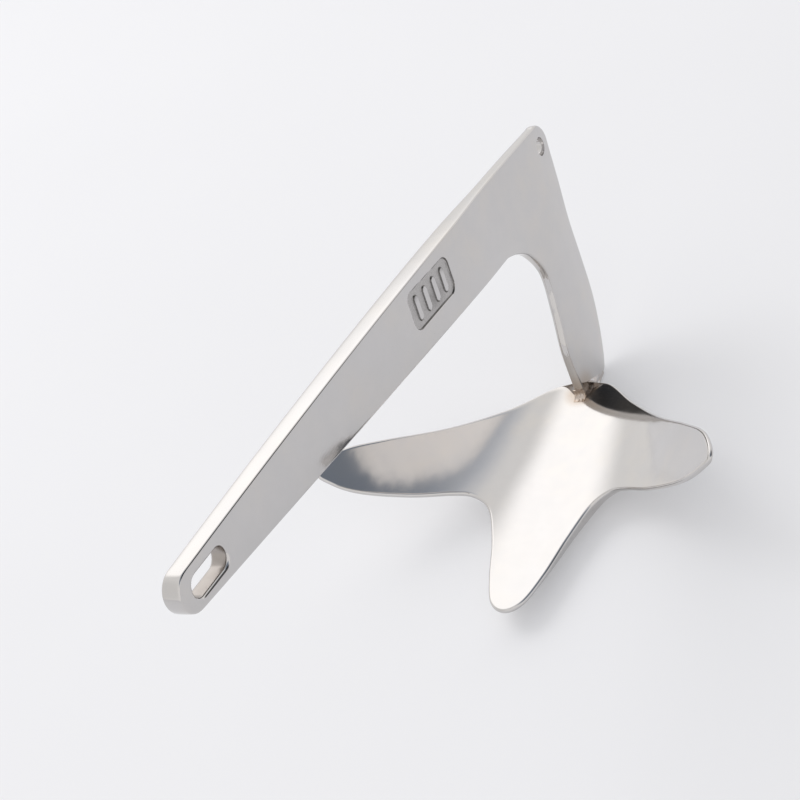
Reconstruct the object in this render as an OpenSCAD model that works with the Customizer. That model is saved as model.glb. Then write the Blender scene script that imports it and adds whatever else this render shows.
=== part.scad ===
// Claw anchor of polished stainless steel: one cast shank welded on one three-palmed claw.
// +X points from the crown toward the shackle eye, +Y across the palms, +Z up.
// The origin is under the middle of the bounding box, on the plane the crown stands on.

/* [Shank] */
// Distance from the trip-line hole to the middle of the shackle slot
bar_len = 326; // [260:1:400]
// Rise of the bar toward the eye, in degrees
bar_pitch = 12.5; // [8:0.5:18]
// Height of the trip-line hole above the crown
knee_h = 112; // [90:1:135]
// How far the trip-line hole lies behind the middle of the foot
knee_back = 52; // [35:1:65]
// Depth of the bar below its axis at the knee
knee_depth = 25.5; // [18:0.5:32]
// Height of the bar above its axis at the knee
bar_top = 10.2; // [9:0.1:14]
// Height of the bar above its axis at the eye
eye_top = 9.2; // [8:0.1:12]
// Extra height of the top edge at the middle of the bar
bar_bow = 3; // [0:0.5:8]
// Depth of the bar below its axis at the eye
eye_depth = 7.4; // [6:0.1:10]
// Radius of the two corners at the eye end
eye_r = 8; // [3:0.5:8]
// Metal left beyond the end of the slot
eye_wall = 7; // [5:0.5:15]
// Thickness of the bar at its middle
bar_t = 9.8; // [8:0.2:14]
// Thickness of the bar at the eye
eye_t = 8; // [7:0.2:12]
// Thickness of the arm and the ear
arm_t = 6.4; // [5:0.2:8]
// Width of the arm at its middle
arm_w = 42; // [36:1:50]

/* [Openings] */
// Width of the shackle slot
slot_w = 8.5; // [6:0.5:10]
// Length of the shackle slot
slot_len = 21.5; // [14:0.5:34]
// Diameter of the trip-line hole
trip_d = 9; // [5:0.5:11]
// Radius of the ear around the trip-line hole
ear_r = 10.5; // [9:0.5:14]

/* [Mark panel] */
// Length of the recessed panel
panel_len = 40; // [24:1:50]
// Height of the recessed panel
panel_h = 17; // [10:0.5:19]
// Radius of its corners
panel_r = 4.5; // [1:0.5:6]
// Depth of the recess
panel_deep = 0.7; // [0.4:0.1:1.2]
// Distance of its middle from the trip-line hole
panel_at = 141; // [110:1:200]
// Number of raised slugs in the recess
slug_count = 4; // [2:1:6]

/* [Claw] */
// Half of the width across the side palms
half_span = 100.5; // [85:0.5:125]
// Length of the centre palm forward of the foot's middle
palm_reach = 148.5; // [125:0.5:185]
// Lift of the side palms at a lateral distance of 100
cup = 76; // [60:1:90]
// Thickness at the crown
crown_t = 9.5; // [6:0.5:11]
// Thickness at the rim
rim_t = 2.4; // [2:0.2:4]
// Thickness at the notch that takes the foot
notch_t = 6; // [4:0.2:8]

/* [Weld] */
// Leg of the fillet welds before and under the foot
weld_leg = 4; // [3:0.5:7]

/* [Hidden] */

shank_colour = "silver";
claw_colour = "lightsteelblue";
weld_colour = "tan";

// --- Claw surface: a formula for its upper face ---
low_x = 37;           // where the middle of the crown is lowest
long_rise = 4.2;      // lift of the middle line at 100 from low_x
cup_fade = 29.4;      // how much the cup opens per 100 forward
cup_ease = 5.1;       // how much the tips ease off
function top_z(x, y) = crown_t + long_rise * pow((x - low_x) / 100, 2)
    + (cup - cup_fade * x / 100) * pow(y / 100, 2) - cup_ease * pow(y / 100, 4);
function slope_x(x, y) = 2 * long_rise * (x - low_x) / 10000 - cup_fade / 100 * pow(y / 100, 2);
function slope_y(x, y) = 2 * (cup - cup_fade * x / 100) * y / 10000
    - 4 * cup_ease * pow(y, 3) / pow(100, 4);
function unit(v) = v / norm(v);
function top_normal(x, y) = unit([-slope_x(x, y), -slope_y(x, y), 1]);

// --- Plan outline of the right half, as curves through a few points ---
foot_x = -15;                  // middle of the foot
notch_x = -4;                  // end of the notch on the middle line
tip_x = foot_x + palm_reach;   // end of the centre palm
tip = [83.5, half_span];
rear_edge = [tip, [68, 0.935 * half_span], [52, 0.78 * half_span], [33, 0.57 * half_span],
    [10, 0.34 * half_span], [-11, 0.13 * half_span], [notch_x, 0]];
front_edge = [tip, [86.5, 0.93 * half_span], [85, 0.81 * half_span], [77, 0.61 * half_span],
    [69, 0.45 * half_span], [67, 0.355 * half_span], [tip_x - 60.5, 27], [tip_x - 42, 19.8],
    [tip_x - 20, 14], [tip_x - 5, 8.2], [tip_x, 0]];

// Smooth curve through the points p, at the share u of its length from 0 to 1
function cubic(a, b, c, d, t) = 0.5 * (2 * b + (c - a) * t + (2 * a - 5 * b + 4 * c - d) * t * t
    + (3 * b - a - 3 * c + d) * t * t * t);
function curve_at(p, u, first, last) =
    let (n = len(p) - 1, k = min(floor(u * n), n - 1), t = u * n - k)
    cubic(k == 0 ? first : p[k - 1], p[k], p[k + 1], k == n - 1 ? last : p[k + 2], t);
function flip(p) = [p[0], -p[1]];
function rear_at(u) = curve_at(rear_edge, u, front_edge[1], flip(rear_edge[len(rear_edge) - 2]));
function front_at(u) = curve_at(front_edge, u, rear_edge[1], flip(front_edge[len(front_edge) - 2]));

// --- Claw mesh: rows run across from one tip to the other, columns from rear to front ---
half_rows = 30;
columns = 14;
shoulder_row = 25;             // the row that starts at the shoulder of the notch
function row_u(k) = 1 - abs(k - half_rows) / half_rows;
function side(k) = k < half_rows ? -1 : 1;
function plan(k, i) = let (u = row_u(k), r = rear_at(u), f = front_at(u), p = r + (f - r) * i / columns)
    [p[0], side(k) * p[1]];
function edge_t(k, i) = rim_t + (notch_t - rim_t) * pow(row_u(k), 8) * max(0, 1 - 2 * i / columns);
function plate_t(k, i) = edge_t(k, i) + (crown_t - edge_t(k, i)) * (1 - pow(2 * i / columns - 1, 4))
    * (1 - pow(1 - row_u(k), 2));
function top_point(k, i) = let (p = plan(k, i)) [p[0], p[1], top_z(p[0], p[1])];
function low_point(k, i) = let (p = plan(k, i)) top_point(k, i) - plate_t(k, i) * top_normal(p[0], p[1]);

// --- Side outline of the shank ---
foot = [foot_x, crown_t];
knee = [foot_x - knee_back, crown_t + knee_h];
bar_dir = [cos(bar_pitch), sin(bar_pitch)];
bar_up = [-sin(bar_pitch), cos(bar_pitch)];
arm_dir = unit(knee - foot);
arm_fwd = [arm_dir[1], -arm_dir[0]];
arm_len = norm(knee - foot);
function on_bar(s, n) = knee + s * bar_dir + n * bar_up;
function on_arm(t, o) = foot + t * arm_len * arm_dir + o * arm_fwd;
function arc(c, r, a0, a1, n) = [for (i = [0:n]) let (a = a0 + (a1 - a0) * i / n)
    c + r * [cos(a), sin(a)]];
function curve(p, first, last, n) = [for (i = [0:n]) curve_at(p, i / n, first, last)];

bar_end = bar_len + slot_len / 2 + eye_wall;
arch_s = 68;                                     // where the lower edge of the bar becomes straight
low_slope = (knee_depth - eye_depth) / (bar_end - arch_s);
foot_front = foot_x + 11;
heel_x = foot_x - 19;
heel_z = 1.2;                                    // how low the foot reaches through the notch
half_w = arm_w / 2;
arm_angle = atan2(-arm_fwd[1], -arm_fwd[0]);

top_edge = [for (i = [0:10]) let (t = i / 10)
    on_bar((bar_end - eye_r) * (1 - t), eye_top + (bar_top - eye_top) * t + bar_bow * 4 * t * (1 - t))];
rear_points = [on_arm(1, -ear_r), on_arm(0.84, -ear_r - 3), on_arm(0.67, 5 - half_w),
    on_arm(0.5, 0.2 - half_w), on_arm(0.33, -4 - half_w), on_arm(0.18, -4.2 - half_w),
    on_arm(0.06, -2 - half_w), [heel_x, heel_z]];
front_points = [[foot_front, crown_t], on_arm(0.06, half_w - 7), on_arm(0.19, half_w - 3),
    on_arm(0.36, half_w - 2), on_arm(0.52, half_w + 1), on_bar(43.5, -knee_depth - 12.5),
    on_bar(54, -knee_depth - 5), on_bar(arch_s, -knee_depth)];
eye_low = eye_depth - eye_r;
shank_outline = concat(
    top_edge,
    arc(knee, ear_r, bar_pitch + 90, arm_angle + 360, 10),
    curve(rear_points, on_arm(1.1, -ear_r + 1), [heel_x + 5, heel_z - 6], 28),
    [[foot_front, heel_z]],
    curve(front_points, [foot_front + 1, crown_t - 6],
        on_bar(arch_s + 12, -knee_depth + 12 * low_slope), 28),
    arc(on_bar(bar_end - eye_r, -eye_low), eye_r, bar_pitch - 90, bar_pitch, 6),
    arc(on_bar(bar_end - eye_r, eye_top - eye_r), eye_r, bar_pitch, bar_pitch + 84, 6));

x_min = min([for (p = shank_outline) p[0]]);
x_max = max([for (p = shank_outline) p[0]]);
x_mid = (x_min + x_max) / 2;

// --- Thickness of the shank along X ---
thin_x = foot_front;      // the arm's thickness ends here
thick_x = foot_x + 42;    // nearly the bar's thickness
full_x = foot_x + 80;     // the bar's thickness
past = 5;                 // how far the plan runs past both ends
ease = 0.3;               // how much less than the bar's thickness there is beside full_x
half_plan = [[x_min - past, arm_t / 2], [thin_x, arm_t / 2], [thick_x, bar_t / 2 - ease],
    [full_x, bar_t / 2], [(full_x + x_max) / 2, bar_t / 2 - ease], [x_max + past, eye_t / 2]];
shank_plan = concat(half_plan, [for (i = [len(half_plan) - 1:-1:0]) flip(half_plan[i])]);

slot_up = 0.4;            // the slot's middle lies this far above the bar's axis
panel_up = -1;            // the panel's middle against the bar's axis
panel_tilt = 3;           // the panel leans toward the lower edge's direction
slug_w = 3.6;
slug_gap = 2.8;           // between the slugs and the long sides of the recess
slug_pitch = (panel_len - 2 * slug_gap) / slug_count;
shank_top = crown_t + knee_h + bar_len;   // above every point of the shank

module placed() { translate([-x_mid, 0, 0]) children(); }

module flat_in_side_view(t) { rotate([90, 0, 0]) linear_extrude(t, center = true) children(); }

module rounded_block(len, h, r, deep) {
    for (x = [-1, 1]) for (z = [-1, 1])
        translate([x * (len / 2 - r), 0, z * (h / 2 - r)]) rotate([90, 0, 0])
            cylinder(h = deep, r = r, center = true, $fn = 48);
    cube([len - 2 * r, deep, h], center = true);
    cube([len, deep, h - 2 * r], center = true);
}

module on_bar_axis(s, n) {
    p = on_bar(s, n);
    translate([p[0], 0, p[1]]) rotate([0, -bar_pitch, 0]) children();
}

module round_ended(len, width, deep) {
    straight = len - width;
    for (x = [-1, 1]) translate([x * straight / 2, 0, 0]) rotate([90, 0, 0])
        cylinder(h = deep, d = width, center = true, $fn = 48);
    cube([straight, deep, width], center = true);
}

module shackle_slot() {
    on_bar_axis(bar_len, slot_up) round_ended(slot_len, slot_w, 2 * bar_t);
}

module trip_hole() {
    translate([knee[0], 0, knee[1]]) rotate([90, 0, 0])
        cylinder(h = 2 * bar_t, d = trip_d, center = true, $fn = 64);
}

module mark_panel() {
    floor_y = bar_t / 2 - panel_deep;
    cut = 4 * panel_deep;
    translate([0, floor_y + cut / 2, 0]) on_bar_axis(panel_at, panel_up)
        rotate([0, -panel_tilt, 0]) difference() {
            rounded_block(panel_len, panel_h, panel_r, cut);
            for (i = [0:slug_count - 1])
                translate([(i - (slug_count - 1) / 2) * slug_pitch, 0, 0]) rotate([0, 90, 0])
                    round_ended(panel_h - 2 * slug_gap, slug_w, cut);
        }
}

module shank() {
    color(shank_colour) placed() difference() {
        intersection() {
            flat_in_side_view(2 * bar_t) polygon(shank_outline);
            linear_extrude(shank_top) polygon(shank_plan);
        }
        shackle_slot();
        trip_hole();
        mark_panel();
    }
}

module plate() {
    last = 2 * half_rows;
    across = columns + 1;
    function t(k, i) = (k - 1) * 2 * across + i;
    function b(k, i) = t(k, i) + across;
    end = (last - 1) * 2 * across;
    points = concat(
        [for (k = [1:last - 1]) each concat([for (i = [0:columns]) top_point(k, i)],
            [for (i = [0:columns]) low_point(k, i)])],
        [top_point(0, 0), low_point(0, 0), top_point(last, 0), low_point(last, 0)]);
    lt = end;
    lb = end + 1;
    rt = end + 2;
    rb = end + 3;
    faces = concat(
        [for (k = [1:last - 2], i = [0:columns - 1]) each [
            [t(k, i), t(k + 1, i), t(k + 1, i + 1)], [t(k, i), t(k + 1, i + 1), t(k, i + 1)],
            [b(k, i), b(k + 1, i + 1), b(k + 1, i)], [b(k, i), b(k, i + 1), b(k + 1, i + 1)]]],
        [for (k = [1:last - 2]) each [
            [t(k, 0), b(k, 0), b(k + 1, 0)], [t(k, 0), b(k + 1, 0), t(k + 1, 0)],
            [t(k, columns), b(k + 1, columns), b(k, columns)],
            [t(k, columns), t(k + 1, columns), b(k + 1, columns)]]],
        [for (i = [0:columns - 1]) each [
            [lt, t(1, i), t(1, i + 1)], [lb, b(1, i + 1), b(1, i)],
            [t(last - 1, i), rt, t(last - 1, i + 1)], [b(last - 1, i), b(last - 1, i + 1), rb]]],
        [[lt, lb, b(1, 0)], [lt, b(1, 0), t(1, 0)],
            [lt, b(1, columns), lb], [lt, t(1, columns), b(1, columns)],
            [t(last - 1, 0), b(last - 1, 0), rb], [t(last - 1, 0), rb, rt],
            [t(last - 1, columns), rb, b(last - 1, columns)], [t(last - 1, columns), rt, rb]]);
    polyhedron(points, faces);
}

// The foot's own width cut out of the end of the notch
module foot_seat() {
    translate([heel_x, -arm_t / 2, -crown_t])
        cube([foot_front - heel_x, arm_t, 4 * crown_t]);
}

module claw() {
    color(claw_colour) placed() difference() {
        plate();
        foot_seat();
    }
}

// A bar between equally long lists of points, one list for each corner of its section. The corners
// run clockwise as seen from the bar's start.
module bar_between(corners) {
    sides = len(corners);
    n = len(corners[0]);
    polyhedron([for (c = corners) each c], concat(
        [for (c = [1:sides - 2]) each [
            [0, c * n, (c + 1) * n], [n - 1, (c + 1) * n + n - 1, c * n + n - 1]]],
        [for (c = [0:sides - 1], i = [0:n - 2]) let (a = c * n + i, b = (c + 1) % sides * n + i) each [
            [a, b + 1, b], [a, a + 1, b + 1]]]));
}

// Beside the foot: fills the wedge between the foot and the side of the notch, from the shoulder
// to the front, and slopes down toward the heel
weld_gap = 0.6;                // where the wedge starts, beside the front of the foot
heel_wall = 6;                 // how far from the heel it ends
rear_top = 3.5;                // top of the weld on the foot, at the heel end
rear_low = 1.5;                // its underside there
proud = 2;                     // how far the front end stands above the claw
function between(a, b, t) = a + (b - a) * t;
function notch_share() = (arm_t / 2 + weld_gap - rear_at((half_rows - 1) / half_rows)[1])
    / (rear_at((half_rows - 2) / half_rows)[1] - rear_at((half_rows - 1) / half_rows)[1]);
function notch_line(points) = let (n = len(points))
    concat([for (i = [0:n - 2]) points[i]], [between(points[n - 1], points[n - 2], notch_share())]);
function mirrored(p) = [p[0], -p[1], p[2]];

module side_weld(s) {
    rows = [for (k = [shoulder_row:half_rows - 1]) k];
    rim_top = notch_line([for (k = rows) mirrored(top_point(k, 0))]);
    rim_low = notch_line([for (k = rows) mirrored(low_point(k, 0))]);
    n = len(rows) - 1;
    last = rim_top[n];
    function on_foot(i, rear_z, front_z) = let (t = i / n)
        [between(heel_x + heel_wall, last[0], t), arm_t / 2, between(rear_z, front_z, t)];
    foot_top = [for (i = [0:n]) on_foot(i, rear_top, last[2] + proud)];
    foot_low = [for (i = [0:n]) on_foot(i, rear_low, rim_low[n][2])];
    color(weld_colour) placed() mirror([0, s < 0 ? 1 : 0, 0])
        bar_between([foot_low, rim_low, rim_top, foot_top]);
}

module weld_right() { side_weld(1); }
module weld_left() { side_weld(-1); }

// A fillet against the front of the foot: s = 1 on the claw, -1 under it
module front_fillet(s, at, slope) {
    ends = [s * arm_t / 2, -s * arm_t / 2];
    root = [for (y = ends) [foot_front, y, at]];
    toe = [for (y = ends) [foot_front + weld_leg, y, at + slope * weld_leg]];
    top = [for (y = ends) [foot_front, y, at + s * weld_leg]];
    color(weld_colour) placed() bar_between([root, toe, top]);
}

module weld_front() {
    front_fillet(1, top_z(foot_front, arm_t / 2), slope_x(foot_front, arm_t / 2));
}

module weld_under() {
    a = low_point(half_rows, 0);
    b = low_point(half_rows, 1);
    slope = (b[2] - a[2]) / (b[0] - a[0]);
    front_fillet(-1, a[2] + slope * (foot_front - a[0]), slope);
}

shank();
claw();
weld_right();
weld_left();
weld_front();
weld_under();
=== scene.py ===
"""Claw anchor of polished stainless steel in a pale studio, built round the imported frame.

Every shape is a function of two parameters on a grid, in millimetres in the makers' own axes:
x runs from the foot of the shank toward the shackle eye, y across the palms, z up from the
underside of the crown. placed() turns it into metres about the middle of the bounding box.
"""

import math

import bmesh
import bpy
import numpy as np
from mathutils import Matrix, Vector


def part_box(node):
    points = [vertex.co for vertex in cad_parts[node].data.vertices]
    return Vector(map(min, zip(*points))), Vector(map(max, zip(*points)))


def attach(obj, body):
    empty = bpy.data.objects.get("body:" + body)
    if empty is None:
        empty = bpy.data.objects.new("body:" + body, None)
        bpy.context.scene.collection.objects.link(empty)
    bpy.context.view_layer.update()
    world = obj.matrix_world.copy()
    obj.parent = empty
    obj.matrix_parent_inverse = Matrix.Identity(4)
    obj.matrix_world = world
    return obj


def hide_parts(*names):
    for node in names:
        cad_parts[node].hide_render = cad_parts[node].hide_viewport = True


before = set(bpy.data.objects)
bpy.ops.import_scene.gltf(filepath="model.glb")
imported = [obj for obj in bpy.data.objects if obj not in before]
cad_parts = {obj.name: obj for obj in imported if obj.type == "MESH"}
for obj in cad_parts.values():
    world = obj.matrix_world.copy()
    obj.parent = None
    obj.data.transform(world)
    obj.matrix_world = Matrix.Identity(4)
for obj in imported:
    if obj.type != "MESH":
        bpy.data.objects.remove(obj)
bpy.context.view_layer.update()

bl_info = {
    "name": "Claw anchor",
    "version": (1, 0, 0),
    "blender": (4, 5, 0),
    "location": "3D View > Sidebar > Anchor",
    "description": "Builds a polished claw anchor, its weld beads and a pale studio",
    "category": "Add Mesh",
}

MM = 0.001
FOOT_X = -15.0  # middle of the foot
FOOT_FRONT = FOOT_X + 11  # front of the foot
HEEL = np.array([FOOT_X - 19, 1.2])  # lowest point of the foot behind the claw
NOTCH_X = -4.0  # end of the notch that takes the foot
NOTCH_SHARE = 0.134  # share of the half span where the notch starts
SLOT_UP = 0.4  # middle of the slot above the axis of the bar

# Bump heights in mm of the waves, patches, lines and pits of a polished face
WAVE, PATCH, LINE, PIT = 0.55, 0.10, 0.0035, 0.0012

# Studio, in metres
FLOOR_HALF = 6.0
AIM = (0.0, 0.0, 0.05)
KEY_PLACE, KEY_WIDTH = (-0.5, -1.3, 1.65), 1.1
FILL_PLACE, FILL_WIDTH = (1.5, 0.3, 1.1), 1.0
CAMERA_PLACE = (0.39757, 0.32152, 0.50211)
CAMERA_FORWARD = (-0.60953, -0.52345, -0.59537)
CAMERA_RIGHT = (-0.32427, 0.84993, -0.41529)
LENS, SENSOR = 67.5, 36.0

# Patches of the tent: direction, cosines at which the patch begins and is full, and its amount
BRIGHT_PATCH = ((-0.66, -0.50, 0.56), (0.875, 0.975), 0.68)
DIM_PATCHES = (
    ((-0.24, 0.60, 0.77), (0.766, 0.995), 0.74),
    ((-0.55, 0.76, 0.34), (0.87, 0.97), 0.9),
    ((0.51, -0.72, 0.47), (0.72, 0.97), 0.12),
)
PALE_LIGHT, COOL_LIGHT = (1.0, 0.99, 0.98, 1.0), (0.86, 0.97, 1.15, 1.0)


# --- Settings -----------------------------------------------------------------------------------
def size(name, text, mm):
    """A length in metres, given in millimetres."""
    return bpy.props.FloatProperty(
        name=name, description=text, default=mm * MM, min=0.0, precision=4,
        unit="LENGTH", subtype="DISTANCE",
    )


def colour(name, text, rgb):
    return bpy.props.FloatVectorProperty(
        name=name, description=text, default=rgb, min=0.0, max=1.0, size=3, subtype="COLOR"
    )


def share(name, text, value):
    return bpy.props.FloatProperty(
        name=name, description=text, default=value, min=0.0, max=1.0, subtype="FACTOR"
    )


class ShankSizes(bpy.types.PropertyGroup):
    bar_len: size("Bar length", "Trip-line hole to the middle of the shackle slot", 326)
    knee_h: size("Knee height", "Trip-line hole above the crown", 112)
    knee_back: size("Knee set-back", "Trip-line hole behind the middle of the foot", 52)
    knee_depth: size("Knee depth", "Bar below its axis at the knee", 25.5)
    bar_top: size("Bar top", "Bar above its axis at the knee", 10.2)
    eye_top: size("Eye top", "Bar above its axis at the eye", 9.2)
    bar_bow: size("Bow", "Extra height of the top edge at the middle", 3)
    eye_depth: size("Eye depth", "Bar below its axis at the eye", 7.4)
    eye_r: size("Eye corner", "Radius of the two corners at the eye", 8)
    eye_wall: size("Eye wall", "Metal beyond the end of the slot", 7)
    bar_t: size("Bar thickness", "Thickness at the middle of the bar", 9.8)
    eye_t: size("Eye thickness", "Thickness at the eye", 8)
    arm_t: size("Arm thickness", "Thickness of the arm and the ear", 6.4)
    arm_w: size("Arm width", "Width of the arm at its middle", 42)
    slot_w: size("Slot width", "Width of the shackle slot", 8.5)
    slot_len: size("Slot length", "Length of the shackle slot", 21.5)
    trip_d: size("Trip-line hole", "Diameter of the trip-line hole", 9)
    ear_r: size("Ear radius", "Radius of the ear round the hole", 10.5)
    crease_r: size("Crease radius", "Rounding between the side and the edge of the bar", 0.8)
    arm_crease_r: size("Arm crease radius", "The same rounding on the arm", 1.3)
    bar_lens: size("Bar crown", "How much the side faces of the bar bulge", 0.22)
    arm_lens: size("Arm crown", "How much the side faces of the arm bulge", 0.8)
    slot_round: size("Slot rounding", "Rounding of the rim of the slot", 1.5)
    hole_round: size("Hole rounding", "Rounding of the rim of the hole", 0.7)
    bar_pitch: bpy.props.FloatProperty(
        name="Bar pitch",
        description="Rise of the bar toward the eye",
        default=math.radians(12.5),
        unit="ROTATION",
        subtype="ANGLE",
    )


class PanelSizes(bpy.types.PropertyGroup):
    length: size("Length", "Length of the recessed panel", 40)
    height: size("Height", "Height of the recessed panel", 17)
    corner: size("Corner", "Radius of its corners", 4.5)
    depth: size("Depth", "Depth of the recess", 0.7)
    at: size("Place", "Distance of its middle from the trip-line hole", 141)
    down: size("Drop", "How far its middle lies under the axis of the bar", 1)
    wall: size("Wall", "Width of its sloping wall", 0.55)
    slug_w: size("Slug width", "Width of a raised slug", 3.6)
    slug_gap: size("Slug gap", "Distance of the slugs from the long sides", 2.8)
    slug_count: bpy.props.IntProperty(
        name="Slugs", description="Number of raised slugs in the recess", default=4, min=1, max=8
    )
    tilt: bpy.props.FloatProperty(
        name="Tilt",
        description="Lean of the panel toward the lower edge",
        default=math.radians(3),
        unit="ROTATION",
        subtype="ANGLE",
    )


class ClawSizes(bpy.types.PropertyGroup):
    half_span: size("Half span", "Half of the width across the side palms", 100.5)
    palm_reach: size("Palm reach", "Centre palm forward of the foot", 148.5)
    cup: size("Cup", "Lift of the side palms at a lateral distance of 100 mm", 76)
    crown_t: size("Crown thickness", "Thickness at the crown", 9.5)
    rim_t: size("Rim thickness", "Thickness at the rim", 2.4)
    notch_t: size("Notch thickness", "Thickness at the notch that takes the foot", 6)
    rim_round: size("Rim rounding", "Width of the rounded rim", 1.1)


class WeldSizes(bpy.types.PropertyGroup):
    leg: size("Leg", "Leg of the fillets before and under the foot", 4)
    ripple: size("Ripple", "Height of the ripples along the bead", 0.12)
    ripple_pitch: size("Ripple pitch", "Distance between two ripples", 1.9)


class SteelFinish(bpy.types.PropertyGroup):
    steel: colour("Steel", "Polished stainless steel", (0.595, 0.582, 0.578))
    warm: colour("Warm cast", "Warmer patches of the polish", (0.61, 0.585, 0.56))
    tint: colour("Heat tint", "Straw tint beside the weld", (0.42, 0.31, 0.22))
    recess: colour("Recess", "Cast floor of the panel", (0.50, 0.485, 0.475))
    bore: colour("Bore", "Unpolished wall of the slot", (0.33, 0.29, 0.26))
    # Dark colour of the panel's walls: polishing residue together with painted shade of the walls
    grime_and_shade: colour("Grime", "Polishing residue on the panel's walls", (0.10, 0.095, 0.09))
    gloss: share("Roughness", "Roughness of the polished faces", 0.09)


class StudioSettings(bpy.types.PropertyGroup):
    floor: colour("Floor", "Colour of the floor", (0.56, 0.56, 0.575))
    floor_glow: share("Floor glow", "Light that comes through the paper floor", 0.265)
    ambient: bpy.props.FloatProperty(
        name="Ambient", description="Brightness of the tent round the anchor", default=1.0, min=0.0
    )
    key: bpy.props.FloatProperty(
        name="Key light", description="Power of the large soft light", default=10.5, min=0.0, unit="POWER"
    )
    fill: bpy.props.FloatProperty(
        name="Fill light", description="Power of the weak light from the eye's side",
        default=1.5, min=0.0, unit="POWER"
    )


def in_mm(group):
    """The lengths of a property group in millimetres, angles in radians and counts as they are."""
    got = {}
    for name, item in type(group).bl_rna.properties.items():
        if name in ("name", "rna_type"):
            continue
        value = getattr(group, name)
        got[name] = round(value / MM, 5) if item.unit == "LENGTH" else value
    return got


# --- Curves -------------------------------------------------------------------------------------
def through(points, u, before, after):
    """Catmull-Rom curve: between the points b and c, with a before and d after them,
    half of (2b + (c - a) t + (2a - 5b + 4c - d) t^2 + (3b - a - 3c + d) t^3)."""
    p = np.vstack([before, points, after]).astype(float)
    n = len(points) - 1
    k = np.minimum(np.floor(u * n), n - 1).astype(int)
    t = (u * n - k)[:, None]
    a, b, c, d = p[k], p[k + 1], p[k + 2], p[k + 3]
    return 0.5 * (
        2 * b + (c - a) * t + (2 * a - 5 * b + 4 * c - d) * t**2 + (3 * b - a - 3 * c + d) * t**3
    )


def arc(centre, r, start, end, n=60):
    """Points at radius r round the centre, the angle running evenly from start to end."""
    a = np.linspace(start, end, n)[:, None]
    return np.asarray(centre) + r * np.hstack([np.cos(a), np.sin(a)])


def along(path):
    """Distance along a polyline at each of its points."""
    step = np.linalg.norm(np.diff(path, axis=0), axis=1)
    return np.concatenate([[0], np.cumsum(step)])


def evenly(path, step=0.25):
    """The same polyline with points every step mm."""
    s = along(path)
    keep = np.concatenate([[True], np.diff(s) > 1e-9])
    path, s = path[keep], s[keep]
    t = np.linspace(0, s[-1], int(s[-1] / step) + 1)
    return np.stack([np.interp(t, s, path[:, k]) for k in range(path.shape[1])], axis=1)


def softened(values, width):
    """Running mean over 2 * width + 1 rows; both ends stay where they are."""
    v = np.asarray(values, float)
    flat = v.ndim == 1
    v = v[:, None] if flat else v
    head = 2 * v[0] - v[width:0:-1]
    tail = 2 * v[-1] - v[-2 : -width - 2 : -1]
    run = np.cumsum(np.vstack([np.zeros((1, v.shape[1])), head, v, tail]), axis=0)
    out = (run[2 * width + 1 :] - run[: -2 * width - 1]) / (2 * width + 1)
    return out[:, 0] if flat else out


def smoothstep(x):
    x = np.clip(x, 0, 1)
    return x * x * (3 - 2 * x)


def unit(v):
    return v / np.linalg.norm(v, axis=-1, keepdims=True)


# --- Meshes -------------------------------------------------------------------------------------
def loop_faces(rows, loop):
    """Quads between neighbouring rows of a grid whose rows are closed loops."""
    i, j = np.meshgrid(np.arange(rows - 1), np.arange(loop), indexing="ij")
    a = i * loop + j
    b = i * loop + (j + 1) % loop
    return np.stack([a, b, b + loop, a + loop], axis=-1).reshape(-1, 4)


def cap_faces(start, loop):
    """Closes a loop that is symmetric about its first point: strips from one side to the other."""
    half, stop = loop // 2, start + loop
    strips = [[start + j, start + j + 1, stop - j - 1, stop - j] for j in range(1, half - 1)]
    ends = [[start, start + 1, stop - 1], [start + half - 1, start + half, start + half + 1]]
    return strips + ends


def tube_faces(grid):
    """Faces of a grid of closed loops, with one face over each end."""
    rows, loop = grid.shape[:2]
    ends = [list(range(loop)), [(rows - 1) * loop + k for k in range(loop)][::-1]]
    return loop_faces(rows, loop).tolist() + ends


def placed(points, x_mid):
    return (np.asarray(points) - [x_mid, 0, 0]) * MM


def make_mesh(name, points, faces, sharp=35):
    """A closed mesh with its doubles merged and its faces pointing outwards."""
    mesh = bpy.data.meshes.new(name)
    mesh.from_pydata(points.reshape(-1, 3).tolist(), [], [list(map(int, f)) for f in faces])
    work = bmesh.new()
    work.from_mesh(mesh)
    bmesh.ops.remove_doubles(work, verts=work.verts, dist=2e-7)
    bmesh.ops.dissolve_degenerate(work, edges=work.edges, dist=1e-7)
    bmesh.ops.recalc_face_normals(work, faces=work.faces)
    if work.calc_volume(signed=True) < 0:
        bmesh.ops.reverse_faces(work, faces=work.faces)
    work.to_mesh(mesh)
    work.free()
    mesh.shade_smooth()
    mesh.set_sharp_from_angle(angle=math.radians(sharp))
    obj = bpy.data.objects.new(name, mesh)
    bpy.context.scene.collection.objects.link(obj)
    return obj


def cut(obj, tools, sharp=35):
    """Cuts the tools out of a piece and deletes them."""
    for tool in tools:
        change = obj.modifiers.new("cut", "BOOLEAN")
        change.operation, change.solver, change.object = "DIFFERENCE", "EXACT", tool
    bpy.context.view_layer.update()
    whole = obj.evaluated_get(bpy.context.evaluated_depsgraph_get())
    mesh = bpy.data.meshes.new_from_object(whole)
    mesh.name = obj.name
    obj.modifiers.clear()
    old, obj.data = obj.data, mesh
    bpy.data.meshes.remove(old)
    for tool in tools:
        bpy.data.objects.remove(tool)
    mesh.shade_smooth()
    mesh.set_sharp_from_angle(angle=math.radians(sharp))


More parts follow.
